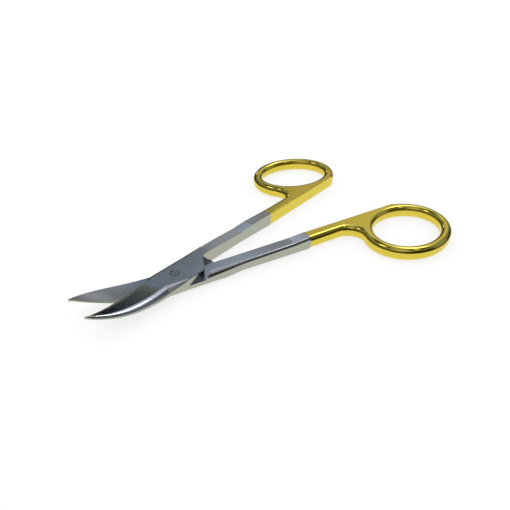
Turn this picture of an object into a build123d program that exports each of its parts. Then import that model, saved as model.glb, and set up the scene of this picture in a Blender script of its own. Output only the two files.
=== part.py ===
from build123d import *
from math import cos, exp, radians, sin, sqrt
import os

# Curved iris scissors with plated finger rings and carbide cutting edges, in millimetres.
#
# Row frame: the joint's axis is Z and the table is z = 0. +X runs from the joint to the rings,
# midway between the two halves, and the blade tips lie towards -X. The part is modelled open.
#
# Each half is drawn in its own frame, which has the half's straight inner side along +X, a little
# outside the centre line. Its outer side lies towards +Y, and the lower half's frame is mirrored.
# side is +1 for the upper half, whose blade and joint plate lie above the meeting surface, and -1
# for the lower half.

# Pose
rest_opening = 20.0  # angle between the halves as modelled

# Joint
joint_thickness = 4.3  # both joint plates together
slide_gap = 0.06  # running gap between the two halves, all over the meeting surface
plate_inner = 5.0  # from the centre line to the joint plate's inner side
plate_outer = 4.6  # from the centre line to the joint plate's outer side
plate_nose = 5.8  # from the joint's axis to the start of the blade
plate_spine = 4.4  # half width of the plate where the spine of the blade starts
nose_taper = 4.8  # length over which the inner side draws in to the spine
heel_start_upper = 11.2  # where the plate's slanted heel meets the shank's straight side
heel_end_upper = 6.5  # where the heel meets the plate's inner side
heel_start_lower = 13.2
heel_end_lower = 12.0
heel_round = 2.2
plate_edge_break = 0.22
plate_end = 7.0  # where the outer side starts to draw in to the shank
draw_in_middle = 13.6  # where it has drawn in by half
plate_edge_round = 1.6
shoulder_play = 0.5  # between one half's heel and the other half's shoulder, along the shank
shoulder_slant = 12.0  # the shoulder leans back by this much from upright

# Shank
side_gap = 0.3  # gap between the straight inner sides in the halves' own frames
shank_waist = 19.0  # the thinnest place of the shank, and the end of the taper from the plate
shank_width_start = 4.15
shank_width_end = 3.7  # at the ring
waist_low = 0.65  # height of the shank's underside at the waist
waist_high = 3.72
dip_upper = 27.5  # where the shank's top stops falling, or starts to rise, towards the ring
rise_upper = 33.0  # where it has risen to the ring's thickness
dip_lower = 36.5
rise_lower = 41.6
shank_edge_round = 0.75
inner_edge_round = 0.22
plating_line = 42.2  # where the plated length starts

# Finger ring
ring_reach = 72.2  # from the joint's axis to the ring's centre, along the half
ring_length = 31.0
ring_width = 26.2
ring_tilt = -19.5
ring_flat_depth = 0.84  # how far the straight inner side cuts into the oval
ring_thickness = 4.02
ring_end_wall = 3.15  # from the finger hole to the ring's outline, at the ends of the oval
ring_side_wall = 3.4
finger_hole_shift = 0.2  # the hole lies off the ring's centre, away from the centre line
ring_edge_share = 0.46  # the outline is rounded by this share of the end wall
hole_edge_share = 0.44
crotch_round = 4.4  # between the shank's outer side and the ring

# Blade
blade_length = 27.7  # from the joint's axis to the tip
tip_offset_upper = 0.35  # from the centre line to the tip, on the half's outer side
tip_offset_lower = -0.15
tip_width_share = 0.994  # the blade's sections stop here, just short of the point
blade_curve_radius = 57.0  # the meeting surface bends up from the plate's nose at this radius
edge_fullness = 1.65  # power of the cutting edge's outline
spine_fullness = 3.8  # power of the spine's outline
tip_thickness = 0.8
spine_wall_share = 0.45  # the share of the thickness that stands square at the spine
ridge_share = 0.53  # the ridge lies at this share of the way out to the spine
spine_belly = 0.13  # how far the spine bevel bulges, as a share of the thickness
cutting_bevel_width = 0.6
cutting_bevel_height = 0.45
cutting_land = 0.12
bevel_start = 1.2  # from the joint's axis to the start of the spine bevel, towards the rings
bevel_width_most = 0.3  # the most of the blade's width that its cutting bevel takes
bevel_fade_power = 4  # how late the cutting bevel narrows towards the tip
root_fade = 0.1  # the share over which the plate's rounded edge turns into the cutting bevel
blade_stations = (0.0, 0.06, 0.14, 0.25, 0.4, 0.55, 0.7, 0.83, 0.92, 0.97)

# Carbide insert along the cutting edge
insert_width = 1.2
insert_start = 0.1  # share of the blade's length
insert_end = 0.97
insert_steps = 6
insert_fade_power = 6  # how late the insert narrows towards the tip

# Joint screw
screw_radius = 1.35
screw_play = 0.04
screw_head_radius = 2.3
screw_head_height = 0.95
screw_slot_width = 0.6
screw_slot_depth = 0.55
screw_edge_break = 0.08
stake_radius = 0.28  # the punch mark that keeps the screw from turning

upper, lower = 1, -1
mid_height = joint_thickness / 2
plate_thickness = mid_height - slide_gap / 2
finger_hole_length = ring_length - 2 * ring_end_wall
finger_hole_width = ring_width - 2 * ring_side_wall
ring_edge_round = ring_edge_share * ring_end_wall
hole_edge_round = hole_edge_share * ring_end_wall
ring_lean = radians(ring_tilt)
ring_half_span = sqrt((ring_length * sin(ring_lean)) ** 2 + (ring_width * cos(ring_lean)) ** 2) / 2
ring_offset = side_gap / 2 + ring_half_span - ring_flat_depth  # the ring's centre, off the centre line
reach = blade_length + ring_reach  # the length of cutting tools, well past all that they cut
touch = joint_thickness / 400  # edges nearer than this lie on one line


def half_frame(side, height=0.0):
    """Workplane of one half at a height above the table, turned to its place in the open pose."""
    return Plane.XY.offset(height).rotated((0, 0, side * rest_opening / 2))


def cross_plane(side, x):
    """Workplane across a half at x: its own x is the half's y, and its own y is the height."""
    frame = half_frame(side)
    return Plane(origin=frame.from_local_coords((x, 0, 0)), x_dir=frame.y_dir, z_dir=frame.x_dir)


def polygon_sketch(plane, points):
    with BuildSketch(plane) as sketch:
        with BuildLine():
            Polyline(*points, close=True)
        make_face()
    return sketch.sketch


def shank_outer(x):
    """The shank's outer side, as y at x."""
    along = (x - shank_waist) / (ring_reach - ring_length / 2 - shank_waist)
    return side_gap / 2 + shank_width_start + along * (shank_width_end - shank_width_start)


def body_section(side, x, outer, low, high, outer_round):
    """Cross-section of the shank: flat on the inner side, well rounded on the outer side."""
    with BuildSketch(cross_plane(side, x)) as section:
        with BuildLine():
            inner_y, outer_y = side * side_gap / 2, side * outer
            Polyline((inner_y, low), (outer_y, low), (outer_y, high), (inner_y, high), close=True)
        make_face()
        corners = section.vertices().group_by(Axis.X)
        fillet(corners[-1 if side == upper else 0], outer_round)
        fillet(corners[0 if side == upper else -1], inner_edge_round)
    return section.sketch


def body_sections(side):
    """The shank from the blade's root to the plating, as the sections that it runs through."""
    if side == upper:
        low, high, dip, rise, level_end = waist_low, joint_thickness, dip_upper, rise_upper, dip_upper
    else:
        low, high, dip, rise, level_end = 0.0, waist_high, dip_lower, rise_lower, shank_waist
    fall = (high - waist_high) / (dip - draw_in_middle)
    drop = waist_low / (plating_line - level_end)
    heel_outer = (plate_outer + shank_outer(shank_waist)) / 2
    heights = [
        (shank_waist, waist_low, high - fall * (shank_waist - draw_in_middle), shank_edge_round),
        (dip, waist_low - drop * (dip - level_end), waist_high, shank_edge_round),
        (rise, waist_low - drop * (rise - level_end), ring_thickness, shank_edge_round),
        (plating_line, 0, ring_thickness, ring_edge_round),
    ]
    return [
        body_section(side, -plate_nose, plate_outer, low, high, plate_edge_round),
        body_section(side, plate_end, plate_outer, low, high, plate_edge_round),
        body_section(side, draw_in_middle, heel_outer, low, high, (plate_edge_round + shank_edge_round) / 2),
        *[body_section(side, x, shank_outer(x), base, top, rounding) for x, base, top, rounding in heights],
    ]


def heel_ends(side):
    """Where one plate's slanted heel starts and ends, along the half."""
    if side == upper:
        return heel_start_upper, heel_end_upper
    return heel_start_lower, heel_end_lower


def plate_outline(side):
    """The joint plate from above, reaching a little into the strip that the shank's sections cover."""
    overlap = side_gap / 2 + inner_edge_round + (plate_outer - side_gap) / 4
    base = joint_thickness - plate_thickness if side == upper else 0
    heel_start, heel_end = heel_ends(side)
    points = [
        (heel_start, overlap),
        (heel_start, side_gap / 2),
        (heel_end, -plate_inner),
        (nose_taper - plate_nose, -plate_inner),
        (-plate_nose, -plate_spine),
        (-plate_nose, overlap),
    ]
    return polygon_sketch(half_frame(side, base), [(x, side * y) for x, y in points])


def shoulder_sketch(side):
    """What the other half's joint plate needs: all that lies on the tip side of the shoulder."""
    heel_start, heel_end = heel_ends(-side)
    inner_x, outer_x = heel_start + shoulder_play, heel_end + shoulder_play
    points = [
        (-reach, -reach),
        (inner_x, -reach),
        (inner_x, -side_gap / 2),
        (outer_x, plate_inner),
        (outer_x, reach),
        (-reach, reach),
    ]
    floor = half_frame(side, mid_height + side * slide_gap / 2)
    return polygon_sketch(floor, [(x, side * y) for x, y in points])


def meeting_half_space(side):
    """All that lies above the meeting surface, or below it: flat round the screw, then bending up."""
    height = mid_height + side * slide_gap / 2
    far = side * reach
    with BuildPart() as space:
        with BuildSketch(Plane.XZ):
            with BuildLine():
                start = Line((0, height), (plate_nose, height))
                arc = CenterArc((plate_nose, height + blade_curve_radius), blade_curve_radius, -90, 45)
                Polyline(arc @ 1, (reach, (arc @ 1).Y), (reach, far), (0, far), start @ 0)
            make_face()
        revolve(axis=Axis.Z)
    return space.part


def tip_y(side):
    return tip_offset_upper if side == upper else tip_offset_lower


def edge_y(side, share):
    """The cutting edge's outline, at a share of the blade's length."""
    return tip_y(side) + (plate_outer - tip_y(side)) * (1 - share**edge_fullness)


def spine_y(side, share):
    """The spine's outline, at a share of the blade's length."""
    return tip_y(side) - (plate_spine + tip_y(side)) * (1 - share**spine_fullness)


def ridge_y(side, share):
    """The ridge between the broad face and the spine bevel."""
    edge, spine = edge_y(side, share), spine_y(side, share)
    return (edge + spine) / 2 - ridge_share * (edge - spine) / 2


def blade_x(share):
    return -plate_nose - share * (blade_length - plate_nose)


def blade_rise(share):
    """How far the meeting surface has bent up."""
    run = share * (blade_length - plate_nose)
    return blade_curve_radius - sqrt(blade_curve_radius**2 - run**2)


def blade_section(side, share):
    """Cross-section of the blade: cutting bevel, broad face, ridge, bulging spine bevel, spine wall."""
    run_out = exp(-share / root_fade)
    thickness = mid_height + share * (tip_thickness - mid_height)
    narrowing = 1 - share**bevel_fade_power
    bevel_width = cutting_bevel_width * narrowing + (plate_edge_round - cutting_bevel_width) * run_out
    bevel_height = cutting_bevel_height + (mid_height - cutting_bevel_height) * run_out
    land = cutting_land + (mid_height - plate_edge_round - cutting_land) * run_out
    edge, spine, ridge = edge_y(side, share), spine_y(side, share), ridge_y(side, share)
    wall = spine_wall_share * thickness
    outline = [
        (spine, wall),
        (spine, -mid_height / 2),
        (edge, -mid_height / 2),
        (edge, land),
        (edge - min(bevel_width, bevel_width_most * (edge - spine)), bevel_height),
        (ridge, thickness),
    ]
    middle = ((ridge + spine) / 2, (thickness + wall) / 2 + spine_belly * thickness)
    base = mid_height + blade_rise(share)
    with BuildSketch(cross_plane(side, blade_x(share))) as section:
        with BuildLine():
            placed = [(side * y, base + side * z) for y, z in (*outline, middle)]
            Polyline(*placed[:-1])
            ThreePointArc(placed[-2], placed[-1], placed[0])
        make_face()
    return section.sketch


def insert_band(side):
    """Plan of the strip along the cutting edge that the carbide insert takes up."""
    step = (insert_end - insert_start) / insert_steps
    shares = [insert_start + step * count for count in range(insert_steps + 1)]
    inner = [(blade_x(s), edge_y(side, s) - insert_width * (1 - s**insert_fade_power)) for s in shares]
    outer = [(x, plate_outer + insert_width) for x in (inner[-1][0], inner[0][0])]
    with BuildSketch(half_frame(side)) as band:
        with BuildLine():
            Spline(*[(x, side * y) for x, y in inner])
            Polyline(*[(x, side * y) for x, y in (inner[-1], *outer, inner[0])])
        make_face()
    return band.sketch


def spine_bevel_planes(side):
    """Planes of the two facets that run out across the joint plate's inner corner."""
    frame = half_frame(side)
    start = frame.from_local_coords((bevel_start, -side * plate_inner, mid_height + side * mid_height))
    ridge, wall = ridge_y(side, 0), spine_wall_share
    nose = [(ridge, 1), ((ridge - plate_spine) / 2, (1 + wall) / 2 + spine_belly), (-plate_spine, wall)]
    high, middle, low = [
        frame.from_local_coords((-plate_nose, side * y, mid_height + side * share * mid_height))
        for y, share in nose
    ]
    planes = []
    for first, second in ((high, middle), (middle, low)):
        outward = (first - start).cross(second - start)
        outward = outward if outward.Z * side > 0 else -outward
        planes.append(Plane(origin=start, x_dir=first - start, z_dir=outward))
    return planes


def ring_place(side):
    """Where the ring's oval lies on its half, and which way it leans."""
    return Location((ring_reach, side * ring_offset, 0), (0, 0, side * ring_tilt))


def ring_plan(side):
    """The ring with its plated length of shank, ground straight along the inner side."""
    frame = half_frame(side)
    strip = [
        (plating_line, side_gap / 2),
        (ring_reach, side_gap / 2),
        (ring_reach, shank_outer(ring_reach)),
        (plating_line, shank_outer(plating_line)),
    ]
    with BuildSketch(frame) as plan:
        with Locations(ring_place(side)):
            Ellipse(ring_length / 2, ring_width / 2)
        with BuildLine():
            Polyline(*[(x, side * y) for x, y in strip], close=True)
        make_face()
        with Locations((0, side * (side_gap / 2 + reach))):
            Rectangle(4 * reach, 2 * reach, mode=Mode.INTERSECT)
    return plan.sketch


def finger_hole(side):
    with BuildSketch(half_frame(side)) as hole:
        with Locations(ring_place(side)):
            with Locations((0, side * finger_hole_shift)):
                Ellipse(finger_hole_length / 2, finger_hole_width / 2)
    return hole.sketch


def flat_edges(part, side):
    """A ring's level edges, sorted into outer side, straight inner side and finger hole."""
    frame = half_frame(side)
    outer, inner, hole = [], [], []
    low = part.edges().filter_by_position(Axis.Z, 0, 0)
    high = part.edges().filter_by_position(Axis.Z, ring_thickness, ring_thickness)
    for edge in low + high:
        ends = [frame.to_local_coords(edge.position_at(end)) for end in (0, 1)]
        middle = frame.to_local_coords(edge.position_at(0.5))
        if max(end.X for end in ends) - plating_line < touch:
            continue
        if abs(side * middle.Y - side_gap / 2) < touch:
            inner.append(edge)
        elif (ends[1] - ends[0]).length < touch:
            hole.append(edge)
        else:
            outer.append(edge)
    return outer, inner, hole


def upright_edges(part, side, low_x, high_x):
    """Upright edges between two places along a half."""
    frame = half_frame(side)
    return [
        edge
        for edge in part.edges().filter_by(Axis.Z)
        if low_x < frame.to_local_coords(edge.center()).X < high_x
    ]


def finger_ring(side):
    """One plated ring with its length of shank."""
    with BuildPart() as ring:
        extrude(ring_plan(side), amount=ring_thickness)
        fillet(upright_edges(ring, side, plating_line + touch, ring_reach), crotch_round)
        extrude(finger_hole(side), amount=ring_thickness, mode=Mode.SUBTRACT)
        fillet(flat_edges(ring, side)[0], ring_edge_round)
        fillet(flat_edges(ring, side)[1], inner_edge_round)
        fillet(flat_edges(ring, side)[2], hole_edge_round)
    return ring.part


def blade(side):
    """One blade, cut to the meeting surface, with its carbide edge still part of it."""
    with BuildPart() as blank:
        loft([blade_section(side, share) for share in (*blade_stations, tip_width_share)])
        add(meeting_half_space(side), mode=Mode.INTERSECT)
    return blank.part


def steel_half(side):
    """Joint plate and bare shank of one half, without the screw's hole."""
    frame = half_frame(side)
    heel_end = heel_ends(side)[1]
    with BuildPart() as half:
        extrude(plate_outline(side), amount=plate_thickness)
        fillet(upright_edges(half, side, heel_end - touch, heel_end + touch), heel_round)
        outer_face = half.faces().sort_by(Axis.Z)[-1 if side == upper else 0]
        chamfer(
            [
                edge
                for edge in outer_face.edges()
                if side * frame.to_local_coords(edge.position_at(0.5)).Y < 0
                and frame.to_local_coords(edge.position_at(0.5)).X > touch - plate_nose
            ],
            plate_edge_break,
        )
        loft(body_sections(side), ruled=True)
        extrude(shoulder_sketch(side), amount=-side * reach, taper=-shoulder_slant, mode=Mode.SUBTRACT)
        for facet in spine_bevel_planes(side):
            split(bisect_by=facet, keep=Keep.BOTTOM)
    return half.part


def screw_hole(side):
    """What is cut for the screw: tight in the upper half, running and countersunk in the lower."""
    with BuildPart() as hole:
        if side == upper:
            Cylinder(screw_radius, reach)
        else:
            Cylinder(screw_radius + screw_play, reach)
            Cone(
                screw_head_radius + screw_play,
                screw_radius + screw_play,
                screw_head_height,
                align=(Align.CENTER, Align.CENTER, Align.MIN),
            )
    return hole.part


def finish_half(side):
    """The whole bare half: plate, shank and blade as one, less its insert's seat and screw hole."""
    with BuildPart() as half:
        add(steel_half(side))
        add(blade(side))
        extrude(insert_band(side), amount=reach, mode=Mode.SUBTRACT)
        add(screw_hole(side), mode=Mode.SUBTRACT)
    return half.part


def carbide_edge(side):
    """The hard strip brazed in along one blade's cutting edge."""
    with BuildPart() as strip:
        add(blade(side))
        extrude(insert_band(side), amount=reach, mode=Mode.INTERSECT)
    return strip.part


with BuildPart() as upper_half:
    add(finish_half(upper))
    with Locations((0, 0, joint_thickness)):
        Cone(
            screw_radius,
            screw_radius + screw_edge_break,
            screw_edge_break,
            align=(Align.CENTER, Align.CENTER, Align.MAX),
            mode=Mode.SUBTRACT,
        )
    with Locations(half_frame(upper, joint_thickness)):
        with Locations((0, screw_radius)):
            Sphere(stake_radius, mode=Mode.SUBTRACT)

with BuildPart() as lower_half:
    add(finish_half(lower))

with BuildPart() as upper_ring:
    add(finger_ring(upper))

with BuildPart() as lower_ring:
    add(finger_ring(lower))

with BuildPart() as upper_carbide_edge:
    add(carbide_edge(upper))

with BuildPart() as lower_carbide_edge:
    add(carbide_edge(lower))

with BuildPart() as joint_screw:
    Cylinder(screw_radius, joint_thickness, align=(Align.CENTER, Align.CENTER, Align.MIN))
    Cone(
        screw_head_radius,
        screw_radius,
        screw_head_height,
        align=(Align.CENTER, Align.CENTER, Align.MIN),
    )
    chamfer(joint_screw.edges().sort_by(Axis.Z)[-1], screw_edge_break)
    with Locations(half_frame(lower)):
        Box(
            2 * reach,
            screw_slot_width,
            screw_slot_depth,
            align=(Align.CENTER, Align.CENTER, Align.MIN),
            mode=Mode.SUBTRACT,
        )
    with Locations(half_frame(upper, joint_thickness)):
        with Locations((0, screw_radius)):
            Sphere(stake_radius, mode=Mode.SUBTRACT)

pieces = {
    "upper_half": upper_half,
    "lower_half": lower_half,
    "upper_ring": upper_ring,
    "lower_ring": lower_ring,
    "upper_carbide_edge": upper_carbide_edge,
    "lower_carbide_edge": lower_carbide_edge,
    "joint_screw": joint_screw,
}
os.makedirs("parts", exist_ok=True)
for name, piece in pieces.items():
    piece.part.label = name
    export_step(piece.part, f"parts/{name}.step")
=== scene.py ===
"""Looks of the curved iris scissors: satin steel halves, gold-plated rings, carbide edges."""

from math import cos, radians, sin

import bpy
from mathutils import Matrix, Vector


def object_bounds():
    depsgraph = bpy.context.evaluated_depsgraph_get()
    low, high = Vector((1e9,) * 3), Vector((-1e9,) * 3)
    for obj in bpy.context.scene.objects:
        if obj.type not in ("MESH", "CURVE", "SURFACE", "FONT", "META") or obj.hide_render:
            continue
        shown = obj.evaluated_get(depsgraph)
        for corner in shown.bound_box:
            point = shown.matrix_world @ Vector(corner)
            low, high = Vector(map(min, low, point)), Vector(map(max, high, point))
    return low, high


bl_info = {
    "name": "Curved iris scissors",
    "version": (1, 0, 0),
    "blender": (4, 5, 0),
    "location": "View3D > Sidebar > Scissors",
    "description": "Finishes of a pair of curved iris scissors, with its table and studio light",
    "category": "Object",
}

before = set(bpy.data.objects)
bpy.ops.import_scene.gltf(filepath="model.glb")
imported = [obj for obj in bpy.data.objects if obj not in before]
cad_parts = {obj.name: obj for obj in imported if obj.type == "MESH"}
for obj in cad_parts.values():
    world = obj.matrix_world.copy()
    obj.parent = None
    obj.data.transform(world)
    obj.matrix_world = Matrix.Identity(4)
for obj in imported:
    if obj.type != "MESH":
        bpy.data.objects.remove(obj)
cad_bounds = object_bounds()

MM = 0.001
HALF_TURN = radians(10)  # each half lies this far from the centre line, as modelled
UPPER, LOWER = 1, -1
# Places of the sockets on a Mix node that blends colours
MIX_SHARE, MIX_FIRST, MIX_SECOND, MIX_RESULT = 0, 6, 7, 2


def linear(hex_colour, alpha=True):
    """An sRGB hex colour as the linear values that shaders use."""
    channels = [int(hex_colour[start : start + 2], 16) / 255 for start in (1, 3, 5)]
    channels = [c / 12.92 if c <= 0.04045 else ((c + 0.055) / 1.055) ** 2.4 for c in channels]
    return (*channels, 1.0) if alpha else tuple(channels)


def add(tree, kind, inputs=None, **settings):
    """Add a node. An input that is given a socket is linked to it, and any other is set."""
    made = tree.nodes.new(kind)
    for name, value in settings.items():
        setattr(made, name, value)
    for key, value in (inputs or {}).items():
        if isinstance(value, bpy.types.NodeSocket):
            tree.links.new(value, made.inputs[key])
        else:
            made.inputs[key].default_value = value
    return made


def new_material(name):
    """An empty material, its node tree and the output that its shader goes to."""
    material = bpy.data.materials.new(name)
    material.use_nodes = True
    material.node_tree.nodes.clear()
    return material, material.node_tree, add(material.node_tree, "ShaderNodeOutputMaterial")


def give(node_name, material):
    """Put one material on a CAD node."""
    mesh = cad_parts[node_name].data
    mesh.materials.clear()
    mesh.materials.append(material)


# Satin stainless steel: forged, ground, and brushed with a fine wheel along each half. It gives a
# softly blurred reflection, with faint lengthwise lines and cloudy patches where it was wiped.
# The real lines are about 0.03 mm apart. They are drawn further apart, or they wouldn't show.
def satin_stainless_steel(name, side, looks):
    line_length = 20  # times the spacing of the lines
    line_blur = 0.02  # how far the lines raise or lower the roughness
    line_shade = 0.94  # brightness of the steel in the lines
    cloud_size = 6 * MM
    cloud_blur = 0.08  # how far the roughness goes from a clear patch to a cloudy one

    material, tree, output = new_material(name)
    place = add(tree, "ShaderNodeTexCoord").outputs["Object"]
    along = add(
        tree,
        "ShaderNodeMapping",
        {
            "Vector": place,
            "Rotation": (0, 0, -side * HALF_TURN),
            "Scale": (1 / line_length, 1, 1),
        },
    ).outputs["Vector"]
    lines = add(
        tree,
        "ShaderNodeTexNoise",
        {"Vector": along, "Scale": 1 / looks.grain_spacing, "Detail": 3.0, "Roughness": 0.6},
    ).outputs["Fac"]
    clouds = add(
        tree, "ShaderNodeTexNoise", {"Vector": place, "Scale": 1 / cloud_size, "Detail": 2.0}
    ).outputs["Fac"]
    lined = add(
        tree,
        "ShaderNodeMapRange",
        {
            "Value": lines,
            "From Min": 0.3,
            "From Max": 0.7,
            "To Min": looks.steel_roughness - line_blur,
            "To Max": looks.steel_roughness + line_blur,
        },
    ).outputs["Result"]
    clouded = add(
        tree,
        "ShaderNodeMath",
        {0: clouds, 1: cloud_blur, 2: lined},
        operation="MULTIPLY_ADD",
    ).outputs["Value"]
    roughness = add(
        tree, "ShaderNodeMath", {0: clouded, 1: cloud_blur / 2}, operation="SUBTRACT"
    ).outputs["Value"]
    colour = add(
        tree,
        "ShaderNodeMix",
        {
            MIX_SHARE: lines,
            MIX_FIRST: (*[c * line_shade for c in looks.steel_colour], 1.0),
            MIX_SECOND: (*looks.steel_colour, 1.0),
        },
        data_type="RGBA",
    ).outputs[MIX_RESULT]
    brushed = add(
        tree,
        "ShaderNodeBump",
        {"Height": lines, "Strength": 0.25, "Distance": looks.grain_depth},
    ).outputs["Normal"]
    shader = add(
        tree,
        "ShaderNodeBsdfPrincipled",
        {"Base Color": colour, "Metallic": 1.0, "Roughness": roughness, "Normal": brushed},
    )
    tree.links.new(shader.outputs["BSDF"], output.inputs["Surface"])
    return material


# Gold plating over mirror-polished steel. It reflects sharply, with a faint waviness from the
# polishing wheel, and with rubbed spots that only lift the roughness.
def polished_gold_plate(name, looks):
    wave_length = 2.2 * MM
    rub_size = 0.5 * MM
    rub_blur = 0.07  # how much rougher a rubbed spot is

    material, tree, output = new_material(name)
    place = add(tree, "ShaderNodeTexCoord").outputs["Object"]
    waves = add(
        tree, "ShaderNodeTexNoise", {"Vector": place, "Scale": 1 / wave_length, "Detail": 1.0}
    ).outputs["Fac"]
    rubbed = add(
        tree, "ShaderNodeTexNoise", {"Vector": place, "Scale": 1 / rub_size, "Detail": 4.0}
    ).outputs["Fac"]
    roughness = add(
        tree,
        "ShaderNodeMapRange",
        {
            "Value": rubbed,
            "From Min": 0.35,
            "From Max": 0.75,
            "To Min": looks.gold_roughness,
            "To Max": looks.gold_roughness + rub_blur,
        },
    ).outputs["Result"]
    wavy = add(
        tree,
        "ShaderNodeBump",
        {"Height": waves, "Strength": 0.3, "Distance": looks.polish_wave},
    ).outputs["Normal"]
    shader = add(
        tree,
        "ShaderNodeBsdfPrincipled",
        {
            "Base Color": (*looks.gold_colour, 1.0),
            "Metallic": 1.0,
            "Roughness": roughness,
            "Normal": wavy,
        },
    )
    tree.links.new(shader.outputs["BSDF"], output.inputs["Surface"])
    return material


# Tungsten carbide, brazed in and ground with a diamond wheel across the edge. It is a little
# warmer and duller than the steel beside it. The real grinding marks are about 0.03 mm apart.
# They are drawn further apart, or they wouldn't show.
def ground_carbide(name, looks):
    mark_spacing = 0.12 * MM
    mark_depth = 0.004 * MM
    mark_length = 1 / 0.15  # times their spacing
    smoothest, roughest = 0.3, 0.42

    material, tree, output = new_material(name)
    place = add(tree, "ShaderNodeTexCoord").outputs["Object"]
    across = add(
        tree,
        "ShaderNodeMapping",
        {"Vector": place, "Scale": (1, 1 / mark_length, 1 / mark_length)},
    ).outputs["Vector"]
    marks = add(
        tree, "ShaderNodeTexNoise", {"Vector": across, "Scale": 1 / mark_spacing, "Detail": 2.0}
    ).outputs["Fac"]
    roughness = add(
        tree,
        "ShaderNodeMapRange",
        {
            "Value": marks,
            "From Min": 0.3,
            "From Max": 0.7,
            "To Min": smoothest,
            "To Max": roughest,
        },
    ).outputs["Result"]
    scored = add(
        tree, "ShaderNodeBump", {"Height": marks, "Strength": 0.4, "Distance": mark_depth}
    ).outputs["Normal"]
    shader = add(
        tree,
        "ShaderNodeBsdfPrincipled",
        {
            "Base Color": (*looks.carbide_colour, 1.0),
            "Metallic": 1.0,
            "Roughness": roughness,
            "Normal": scored,
        },
    )
    tree.links.new(shader.outputs["BSDF"], output.inputs["Surface"])
    return material


# Stainless steel, ground flush with the joint plate. Painted shade draws a thin dark line in the
# groove round the screw's end, and a dark spot in the punch mark that keeps it from turning.
def ground_screw_steel(name, looks):
    end_above = 3 * MM  # the screw's end lies over this height, and its head lies lower
    groove_inner, groove_outer = 0.2 * MM, 0.05 * MM  # measured inwards from the screw's side
    groove_shade = 0.75  # how much of the steel the painted shade covers there
    mark_core, mark_edge = 0.3 * MM, 0.6 * MM  # from the middle of the punch mark
    painted_shade_colour = linear("#1c1e1f")

    material, tree, output = new_material(name)
    place = add(tree, "ShaderNodeTexCoord").outputs["Object"]
    height = add(tree, "ShaderNodeSeparateXYZ", {"Vector": place}).outputs["Z"]
    flat = add(
        tree, "ShaderNodeVectorMath", {0: place, 1: (1, 1, 0)}, operation="MULTIPLY"
    ).outputs["Vector"]
    from_axis = add(tree, "ShaderNodeVectorMath", {0: flat}, operation="LENGTH").outputs["Value"]
    punched = Matrix.Rotation(UPPER * HALF_TURN, 3, "Z") @ Vector((0, looks.screw_radius, 0))
    from_mark = add(
        tree, "ShaderNodeVectorMath", {0: flat, 1: punched}, operation="DISTANCE"
    ).outputs["Value"]
    in_groove = add(
        tree,
        "ShaderNodeMapRange",
        {
            "Value": from_axis,
            "From Min": looks.screw_radius - groove_inner,
            "From Max": looks.screw_radius - groove_outer,
            "To Max": groove_shade,
        },
    ).outputs["Result"]
    in_mark = add(
        tree,
        "ShaderNodeMapRange",
        {
            "Value": from_mark,
            "From Min": mark_core,
            "From Max": mark_edge,
            "To Min": 1.0,
            "To Max": 0.0,
        },
    ).outputs["Result"]
    shaded_places = add(
        tree, "ShaderNodeMath", {0: in_groove, 1: in_mark}, operation="MAXIMUM"
    ).outputs["Value"]
    at_end = add(
        tree, "ShaderNodeMath", {0: height, 1: end_above}, operation="GREATER_THAN"
    ).outputs["Value"]
    # Painted shade in the groove and the punch mark, on the screw's end only
    shade_amount = add(
        tree, "ShaderNodeMath", {0: shaded_places, 1: at_end}, operation="MULTIPLY"
    ).outputs["Value"]
    colour = add(
        tree,
        "ShaderNodeMix",
        {MIX_SHARE: shade_amount, MIX_FIRST: (*looks.screw_colour, 1.0), MIX_SECOND: painted_shade_colour},
        data_type="RGBA",
    ).outputs[MIX_RESULT]
    shader = add(
        tree,
        "ShaderNodeBsdfPrincipled",
        {"Base Color": colour, "Metallic": 1.0, "Roughness": looks.screw_roughness},
    )
    tree.links.new(shader.outputs["BSDF"], output.inputs["Surface"])
    return material


# A matt white table under even light. It is nearly all glow, so that it stays as white as the
# backdrop and keeps only a faint shadow. The metal reflects it as a warmer table that turns dark
# where it is seen at a grazing angle, which draws the dark lines along the rounded edges.
def matt_white_table(name, settings):
    reflected_share = 0.3  # of its own colour
    glow = 0.72
    grazing_start, grazing_end = 0.6, 0.86  # on Layer Weight's scale from 0, straight on, to 1
    grazing_glow = 0.04

    material, tree, output = new_material(name)
    white = add(
        tree,
        "ShaderNodeBsdfPrincipled",
        {
            "Base Color": (*[c * reflected_share for c in settings.floor_colour], 1.0),
            "Roughness": 0.9,
            "Specular IOR Level": 0.0,
            "Emission Color": (*settings.floor_colour, 1.0),
            "Emission Strength": glow,
        },
    ).outputs["BSDF"]
    facing = add(tree, "ShaderNodeLayerWeight", {"Blend": 0.5}).outputs["Facing"]
    strength = add(
        tree,
        "ShaderNodeMapRange",
        {
            "Value": facing,
            "From Min": grazing_start,
            "From Max": grazing_end,
            "To Min": 1.0,
            "To Max": grazing_glow,
        },
        interpolation_type="SMOOTHSTEP",
    ).outputs["Result"]
    in_metal = add(
        tree,
        "ShaderNodeEmission",
        {"Color": (*settings.floor_in_metal, 1.0), "Strength": strength},
    ).outputs["Emission"]
    mirrored = add(tree, "ShaderNodeLightPath").outputs["Is Glossy Ray"]
    seen = add(tree, "ShaderNodeMixShader", {0: mirrored, 1: white, 2: in_metal})
    tree.links.new(seen.outputs["Shader"], output.inputs["Surface"])
    return material


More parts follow.
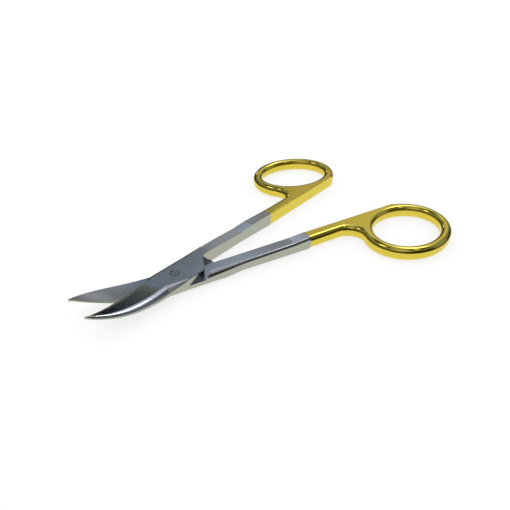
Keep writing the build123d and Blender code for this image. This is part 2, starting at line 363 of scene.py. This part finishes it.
# The studio's lamps. For each: azimuth and elevation, the half angles of its bright core and of
# its soft edge, all in degrees, then its colour and brightness
SOFTBOXES = (
    # Key light over the rings, which draws the bright band along each blade's back
    (20, 57, 10, 20, "#e6e9f6", 1.25),
    # Overhead light
    (0, 90, 8, 24, "#f2f4f8", 0.4),
    # Small lamps that make the highlights on the rounded edges
    (20, 50, 2.5, 9, "#ffffff", 4.0),
    (-62, 62, 2, 7, "#ffffff", 2.0),
    (60, 18, 1.5, 4, "#ffffff", 3.0),
    (150, 55, 3, 12, "#ffffff", 2.0),
    # Cool glints on the shanks where they dip
    (50, 40, 3.5, 6.5, "#e9eeff", 0.8),
    (51.5, 27.5, 1, 4, "#e9eeff", 0.5),
    # Warm patches over the gold
    (33, 26, 9, 15, "#fff0c8", 0.3),
    (24, 36, 8, 16, "#ffffdc", 0.15),
    # Fills, so that no side of the steel is black
    (225, 50, 6, 30, "#ffffff", 0.45),
    (14, 4, 3, 14, "#d6dce6", 0.6),
    (-38, 14, 8, 24, "#eef1f4", 0.3),
    (180, 15, 20, 60, "#e8ebee", 0.15),
)
# The room's two ends: height above the horizon, as a sine, and the colour there
FAR_WALL = (
    (0.0, "#0a0f16"),
    (0.12, "#1b2630"),
    (0.17, "#363f47"),
    (0.3, "#686b6b"),
    (0.5, "#8a8d86"),
    (0.6, "#8b9cae"),
    (0.7, "#94a6bb"),
    (0.82, "#4f5254"),
    (1.0, "#302f2c"),
)
NEAR_WALL = (
    (0.0, "#0d0f11"),
    (0.4, "#2e3133"),
    (0.62, "#777977"),
    (0.85, "#535352"),
    (1.0, "#302f2c"),
)
FAR_AZIMUTH = 49  # of the far wall's middle, in degrees
# Cosines of the angle from there, where the far wall begins and where it is alone
FAR_BEGINS, FAR_ALONE = -0.3, 0.5
BACKDROP_COLOUR = "#fdfdfd"
BACKDROP_STRENGTH = 1.03


def direction(azimuth, elevation):
    """Unit vector; azimuth 0 is +X and 90 is +Y, both in degrees."""
    turn, rise = radians(azimuth), radians(elevation)
    return Vector((cos(turn) * cos(rise), sin(turn) * cos(rise), sin(rise)))


def studio_world():
    """A dim room with soft lamps for the metal to reflect, and a plain pale backdrop."""
    world = bpy.data.worlds.new("studio")
    bpy.context.scene.world = world
    world.use_nodes = True
    tree = world.node_tree
    tree.nodes.clear()
    looking = add(tree, "ShaderNodeTexCoord").outputs["Generated"]
    height = add(tree, "ShaderNodeSeparateXYZ", {"Vector": looking}).outputs["Z"]
    walls = []
    for stops in (NEAR_WALL, FAR_WALL):
        ramp = add(tree, "ShaderNodeValToRGB", {"Fac": height})
        elements = ramp.color_ramp.elements
        while len(elements) < len(stops):
            elements.new(1.0)
        for element, (position, colour) in zip(elements, stops):
            element.position = position
            element.color = linear(colour)
        walls.append(ramp.outputs["Color"])
    away = add(
        tree,
        "ShaderNodeVectorMath",
        {0: looking, 1: direction(FAR_AZIMUTH, 0)},
        operation="DOT_PRODUCT",
    ).outputs["Value"]
    far_share = add(
        tree,
        "ShaderNodeMapRange",
        {"Value": away, "From Min": FAR_BEGINS, "From Max": FAR_ALONE},
        interpolation_type="SMOOTHSTEP",
    ).outputs["Result"]
    total = add(
        tree,
        "ShaderNodeMix",
        {MIX_SHARE: far_share, MIX_FIRST: walls[0], MIX_SECOND: walls[1]},
        data_type="RGBA",
    ).outputs[MIX_RESULT]
    for azimuth, elevation, core, edge, colour, brightness in SOFTBOXES:
        towards = add(
            tree,
            "ShaderNodeVectorMath",
            {0: looking, 1: direction(azimuth, elevation)},
            operation="DOT_PRODUCT",
        ).outputs["Value"]
        glow = add(
            tree,
            "ShaderNodeMapRange",
            {
                "Value": towards,
                "From Min": cos(radians(edge)),
                "From Max": cos(radians(core)),
                "To Max": brightness,
            },
            interpolation_type="SMOOTHSTEP",
        ).outputs["Result"]
        total = add(
            tree,
            "ShaderNodeVectorMath",
            {0: linear(colour, alpha=False), 1: glow, 2: total},
            operation="MULTIPLY_ADD",
        ).outputs["Vector"]
    room = add(tree, "ShaderNodeBackground", {"Color": total}).outputs["Background"]
    backdrop = add(
        tree,
        "ShaderNodeBackground",
        {"Color": linear(BACKDROP_COLOUR), "Strength": BACKDROP_STRENGTH},
    ).outputs["Background"]
    mirrored = add(tree, "ShaderNodeLightPath").outputs["Is Glossy Ray"]
    seen = add(tree, "ShaderNodeMixShader", {0: mirrored, 1: backdrop, 2: room})
    add(tree, "ShaderNodeOutputWorld", {"Surface": seen.outputs["Shader"]})


class ScissorsLooks(bpy.types.PropertyGroup):
    """Finishes of the metal."""

    steel_colour: bpy.props.FloatVectorProperty(
        name="Steel",
        description="Colour of the satin stainless steel",
        subtype="COLOR",
        size=3,
        min=0,
        max=1,
        default=linear("#b1b2b4", alpha=False),
    )
    steel_roughness: bpy.props.FloatProperty(
        name="Steel roughness",
        description="Blur of the reflections in the satin steel",
        min=0.05,
        max=1,
        default=0.15,
        subtype="FACTOR",
    )
    grain_spacing: bpy.props.FloatProperty(
        name="Grain spacing",
        description="Distance between the brushed lines",
        default=0.12 * MM,
        min=0.01 * MM,
        unit="LENGTH",
        precision=5,
    )
    grain_depth: bpy.props.FloatProperty(
        name="Grain depth",
        description="Depth of the brushed lines",
        default=0.0015 * MM,
        min=0,
        unit="LENGTH",
        precision=6,
    )
    gold_colour: bpy.props.FloatVectorProperty(
        name="Gold",
        description="Colour of the gold plating",
        subtype="COLOR",
        size=3,
        min=0,
        max=1,
        default=linear("#e2cb56", alpha=False),
    )
    gold_roughness: bpy.props.FloatProperty(
        name="Gold roughness",
        description="Blur of the reflections in the polished gold",
        min=0.01,
        max=1,
        default=0.07,
        subtype="FACTOR",
    )
    polish_wave: bpy.props.FloatProperty(
        name="Polish waviness",
        description="Height of the waves that the polishing wheel leaves",
        default=0.01 * MM,
        min=0,
        unit="LENGTH",
        precision=6,
    )
    carbide_colour: bpy.props.FloatVectorProperty(
        name="Carbide",
        description="Colour of the ground carbide edges",
        subtype="COLOR",
        size=3,
        min=0,
        max=1,
        default=linear("#b3b0a2", alpha=False),
    )
    screw_colour: bpy.props.FloatVectorProperty(
        name="Screw",
        description="Colour of the screw's end",
        subtype="COLOR",
        size=3,
        min=0,
        max=1,
        default=linear("#9b9d9b", alpha=False),
    )
    screw_radius: bpy.props.FloatProperty(
        name="Screw radius",
        description="Radius of the screw's end, where its groove is",
        default=1.35 * MM,
        min=0.2 * MM,
        unit="LENGTH",
        precision=5,
    )
    screw_roughness: bpy.props.FloatProperty(
        name="Screw roughness",
        description="Blur of the reflections in the screw",
        min=0.05,
        max=1,
        default=0.2,
        subtype="FACTOR",
    )


class StageSettings(bpy.types.PropertyGroup):
    """Table, light and camera."""

    floor_colour: bpy.props.FloatVectorProperty(
        name="Table",
        description="Colour of the table",
        subtype="COLOR",
        size=3,
        min=0,
        max=1,
        default=linear("#ffffff", alpha=False),
    )
    floor_in_metal: bpy.props.FloatVectorProperty(
        name="Table in the metal",
        description="Colour of the table's light where the metal reflects it",
        subtype="COLOR",
        size=3,
        min=0,
        max=1,
        default=linear("#f7f9e2", alpha=False),
    )
    floor_size: bpy.props.FloatProperty(
        name="Table size",
        description="Side of the square table top",
        default=6.0,
        min=0.5,
        unit="LENGTH",
    )
    focal_length: bpy.props.FloatProperty(
        name="Focal length",
        description="Focal length of the camera, in millimetres on a 36 mm sensor",
        default=35.925,
        min=10,
        subtype="DISTANCE_CAMERA",
    )


class SCISSORS_OT_steel_halves(bpy.types.Operator):
    """Finish the two forged halves in satin steel"""

    bl_idname = "scissors.steel_halves"
    bl_label = "Steel halves"

    def execute(self, context):
        looks = context.scene.scissors_looks
        for node_name, side in (("upper_half", UPPER), ("lower_half", LOWER)):
            name = f"satin_stainless_steel_{node_name}"
            give(node_name, satin_stainless_steel(name, side, looks))
        return {"FINISHED"}


class SCISSORS_OT_finger_rings(bpy.types.Operator):
    """Finish the finger rings and their length of shank in polished gold plate"""

    bl_idname = "scissors.finger_rings"
    bl_label = "Finger rings"

    def execute(self, context):
        gold = polished_gold_plate("polished_gold_plate", context.scene.scissors_looks)
        for node_name in ("upper_ring", "lower_ring"):
            give(node_name, gold)
        return {"FINISHED"}


class SCISSORS_OT_carbide_edges(bpy.types.Operator):
    """Finish the brazed cutting edges in ground carbide"""

    bl_idname = "scissors.carbide_edges"
    bl_label = "Carbide edges"

    def execute(self, context):
        carbide = ground_carbide("ground_carbide", context.scene.scissors_looks)
        for node_name in ("upper_carbide_edge", "lower_carbide_edge"):
            give(node_name, carbide)
        return {"FINISHED"}


class SCISSORS_OT_joint_screw(bpy.types.Operator):
    """Finish the joint screw in steel that is ground flush"""

    bl_idname = "scissors.joint_screw"
    bl_label = "Joint screw"

    def execute(self, context):
        give("joint_screw", ground_screw_steel("ground_screw_steel", context.scene.scissors_looks))
        return {"FINISHED"}


TABLE_GAP = 0.02 * MM  # under the scissors, so that no two faces lie in one plane
SENSOR_WIDTH = 36.0  # in millimetres, as the focal length is
CAMERA_PLACE = Vector((-0.05549, -0.09758, 0.08436))
CAMERA_LOOKS = Vector((0.5404, 0.62879, -0.55909))
CAMERA_RIGHT = Vector((0.75842, -0.65176, 0.00005))


class SCISSORS_OT_stage(bpy.types.Operator):
    """Make the table, the studio light and the camera"""

    bl_idname = "scissors.stage"
    bl_label = "Stage"

    def execute(self, context):
        settings = context.scene.scissors_stage
        self.table(context, settings)
        studio_world()
        self.camera(context, settings)
        context.scene.view_settings.view_transform = "Standard"
        return {"FINISHED"}

    def table(self, context, settings):
        """A flat square, just clear of the scissors' underside."""
        reach, level = settings.floor_size / 2, cad_bounds[0].z - TABLE_GAP
        mesh = bpy.data.meshes.new("table_top")
        corners = [(-reach, -reach), (reach, -reach), (reach, reach), (-reach, reach)]
        mesh.from_pydata([(x, y, level) for x, y in corners], [], [(0, 1, 2, 3)])
        top = bpy.data.objects.new("table_top", mesh)
        context.scene.collection.objects.link(top)
        mesh.materials.append(matt_white_table("matt_white_table", settings))

    def camera(self, context, settings):
        """Looks down across the blades towards the rings."""
        data = bpy.data.cameras.new("camera")
        data.lens, data.sensor_width = settings.focal_length, SENSOR_WIDTH
        data.clip_start, data.clip_end = 0.01, 20.0
        camera = bpy.data.objects.new("camera", data)
        back = -CAMERA_LOOKS.normalized()
        right = CAMERA_RIGHT.normalized()
        turned = Matrix((right, back.cross(right), back)).transposed().to_4x4()
        camera.matrix_world = Matrix.Translation(CAMERA_PLACE) @ turned
        context.scene.collection.objects.link(camera)
        context.scene.camera = camera


STEPS = (
    SCISSORS_OT_steel_halves,
    SCISSORS_OT_finger_rings,
    SCISSORS_OT_carbide_edges,
    SCISSORS_OT_joint_screw,
    SCISSORS_OT_stage,
)


class SCISSORS_PT_panel(bpy.types.Panel):
    """Lists the steps that finish the scissors"""

    bl_idname = "SCISSORS_PT_panel"
    bl_label = "Curved iris scissors"
    bl_space_type = "VIEW_3D"
    bl_region_type = "UI"
    bl_category = "Scissors"

    def draw(self, context):
        for step in STEPS:
            self.layout.operator(step.bl_idname)
        for group in (context.scene.scissors_looks, context.scene.scissors_stage):
            for name in group.__annotations__:
                self.layout.prop(group, name)


CLASSES = (ScissorsLooks, StageSettings, *STEPS, SCISSORS_PT_panel)


def register():
    for each in CLASSES:
        bpy.utils.register_class(each)
    bpy.types.Scene.scissors_looks = bpy.props.PointerProperty(type=ScissorsLooks)
    bpy.types.Scene.scissors_stage = bpy.props.PointerProperty(type=StageSettings)


def unregister():
    del bpy.types.Scene.scissors_stage
    del bpy.types.Scene.scissors_looks
    for each in reversed(CLASSES):
        bpy.utils.unregister_class(each)


def main():
    """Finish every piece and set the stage."""
    register()
    bpy.ops.scissors.steel_halves()
    bpy.ops.scissors.finger_rings()
    bpy.ops.scissors.carbide_edges()
    bpy.ops.scissors.joint_screw()
    bpy.ops.scissors.stage()


if __name__ == "__main__":
    main()
